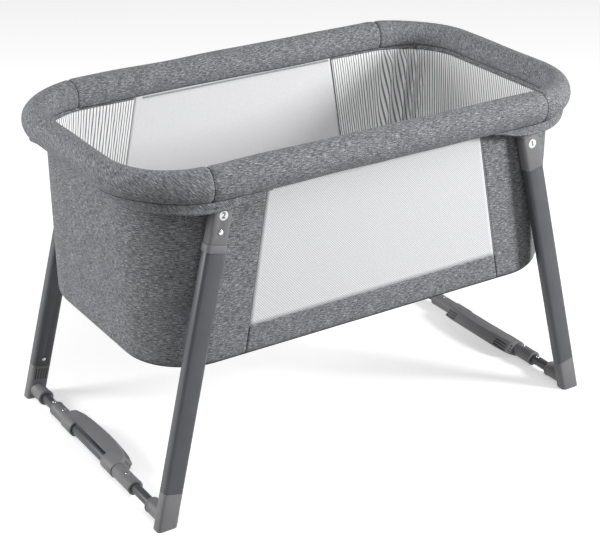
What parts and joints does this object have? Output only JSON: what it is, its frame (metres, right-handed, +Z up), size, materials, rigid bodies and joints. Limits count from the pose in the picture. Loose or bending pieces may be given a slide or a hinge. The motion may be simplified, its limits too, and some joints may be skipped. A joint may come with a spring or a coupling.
{
  "type": "bassinet on stand",
  "caption": "Rounded fabric bassinet with mesh sides and a padded rim on splayed legs, with a crossbar and a fold-down rocker at each end.",
  "frame": {"origin": "on the floor under the middle of the bassinet", "axes": "+X along the bassinet, +Y to its back, +Z up"},
  "size_m": [0.9112, 0.533, 0.5965],
  "materials": {
    "painted_tube": "satin slate powder coat",
    "grey_plastic": "fine moulded texture",
    "chrome": "polished",
    "zinc_screw": "zinc plated",
    "melange_cloth": "grey melange linen-look weave",
    "white_mesh": "white spacer mesh",
    "striped_lining": "white cotton with thin grey stripes",
    "board": "bare hardboard",
    "mattress_cloth": "white quilted cotton"
  },
  "bodies": {
    "stand_and_tub": {"back_mesh": "white_mesh", "back_panel": "melange_cloth", "back_rail_tube": "painted_tube", "base_board": "board", "crossbar_tube_left": "painted_tube", "crossbar_tube_right": "painted_tube", "foot_back_left": "grey_plastic", "foot_back_right": "grey_plastic", "foot_front_left": "grey_plastic", "foot_front_right": "grey_plastic", "foot_screw_back_left": "zinc_screw", "foot_screw_back_right": "zinc_screw", "foot_screw_front_left": "zinc_screw", "foot_screw_front_right": "zinc_screw", "front_mesh": "white_mesh", "front_panel": "melange_cloth", "front_rail_tube": "painted_tube", "left_end_panel": "melange_cloth", "left_end_rail_tube": "painted_tube", "left_lining": "striped_lining", "leg_collar_back_left": "grey_plastic", "leg_collar_back_right": "grey_plastic", "leg_collar_front_left": "grey_plastic", "leg_collar_front_right": "grey_plastic", "leg_tube_back_left": "painted_tube", "leg_tube_back_right": "painted_tube", "leg_tube_front_left": "painted_tube", "leg_tube_front_right": "painted_tube", "mattress": "mattress_cloth", "right_end_panel": "melange_cloth", "right_end_rail_tube": "painted_tube", "right_lining": "striped_lining", "rim_cover": "melange_cloth", "sleeve_back_left": "grey_plastic", "sleeve_back_right": "grey_plastic", "sleeve_front_left": "grey_plastic", "sleeve_front_right": "grey_plastic", "socket_back_left": "grey_plastic", "socket_back_right": "grey_plastic", "socket_front_left": "grey_plastic", "socket_front_right": "grey_plastic", "stub_back_left": "painted_tube", "stub_back_right": "painted_tube", "stub_front_left": "painted_tube", "stub_front_right": "painted_tube", "tub_floor": "melange_cloth"},
    "rocker_left": {"rocker_left": "grey_plastic"},
    "rocker_right": {"rocker_right": "grey_plastic"},
    "snap_button_front_left": {"snap_button_front_left": "chrome"},
    "sleeve_button_front_left": {"sleeve_button_front_left": "chrome"},
    "snap_button_front_right": {"snap_button_front_right": "chrome"},
    "sleeve_button_front_right": {"sleeve_button_front_right": "chrome"},
    "snap_button_back_left": {"snap_button_back_left": "chrome"},
    "sleeve_button_back_left": {"sleeve_button_back_left": "chrome"},
    "snap_button_back_right": {"snap_button_back_right": "chrome"},
    "sleeve_button_back_right": {"sleeve_button_back_right": "chrome"},
    "stub_button_back_left": {"stub_button_back_left": "chrome"},
    "stub_button_front_right": {"stub_button_front_right": "chrome"}
  },
  "joints": [
    {"name": "rocker_left_swing", "type": "hinge", "parent": "stand_and_tub", "child": "rocker_left", "pos_m": [-0.424, 0, 0.0155], "axis": [0, 1, 0], "range_deg": [0, 128]},
    {"name": "rocker_right_swing", "type": "hinge", "parent": "stand_and_tub", "child": "rocker_right", "pos_m": [0.424, 0, 0.0155], "axis": [0, -1, 0], "range_deg": [0, 128]},
    {"name": "snap_button_front_left_press", "type": "slide", "parent": "stand_and_tub", "child": "snap_button_front_left", "axis": [0, 0.9995, -0.0318], "range_m": [0, 0.005], "stiffness_N_per_m": 900, "springref_m": -0.004},
    {"name": "sleeve_button_front_left_press", "type": "slide", "parent": "stand_and_tub", "child": "sleeve_button_front_left", "axis": [0, 0, -1], "range_m": [0, 0.0056], "stiffness_N_per_m": 800, "springref_m": -0.004},
    {"name": "snap_button_front_right_press", "type": "slide", "parent": "stand_and_tub", "child": "snap_button_front_right", "axis": [-0.9719, -0.0075, -0.2351], "range_m": [0, 0.005], "stiffness_N_per_m": 900, "springref_m": -0.004},
    {"name": "sleeve_button_front_right_press", "type": "slide", "parent": "stand_and_tub", "child": "sleeve_button_front_right", "axis": [0, 0, -1], "range_m": [0, 0.0056], "stiffness_N_per_m": 800, "springref_m": -0.004},
    {"name": "snap_button_back_left_press", "type": "slide", "parent": "stand_and_tub", "child": "snap_button_back_left", "axis": [0.9719, 0.0075, -0.2351], "range_m": [0, 0.005], "stiffness_N_per_m": 900, "springref_m": -0.004},
    {"name": "sleeve_button_back_left_press", "type": "slide", "parent": "stand_and_tub", "child": "sleeve_button_back_left", "axis": [0, 0, -1], "range_m": [0, 0.0056], "stiffness_N_per_m": 800, "springref_m": -0.004},
    {"name": "snap_button_back_right_press", "type": "slide", "parent": "stand_and_tub", "child": "snap_button_back_right", "axis": [0, -0.9995, -0.0318], "range_m": [0, 0.005], "stiffness_N_per_m": 900, "springref_m": -0.004},
    {"name": "sleeve_button_back_right_press", "type": "slide", "parent": "stand_and_tub", "child": "sleeve_button_back_right", "axis": [0, 0, -1], "range_m": [0, 0.0056], "stiffness_N_per_m": 800, "springref_m": -0.004},
    {"name": "stub_button_back_left_press", "type": "slide", "parent": "stand_and_tub", "child": "stub_button_back_left", "axis": [0, 0, -1], "range_m": [0, 0.0022], "stiffness_N_per_m": 1200, "springref_m": -0.003},
    {"name": "stub_button_front_right_press", "type": "slide", "parent": "stand_and_tub", "child": "stub_button_front_right", "axis": [0, 0, -1], "range_m": [0, 0.0022], "stiffness_N_per_m": 1200, "springref_m": -0.003}
  ]
}
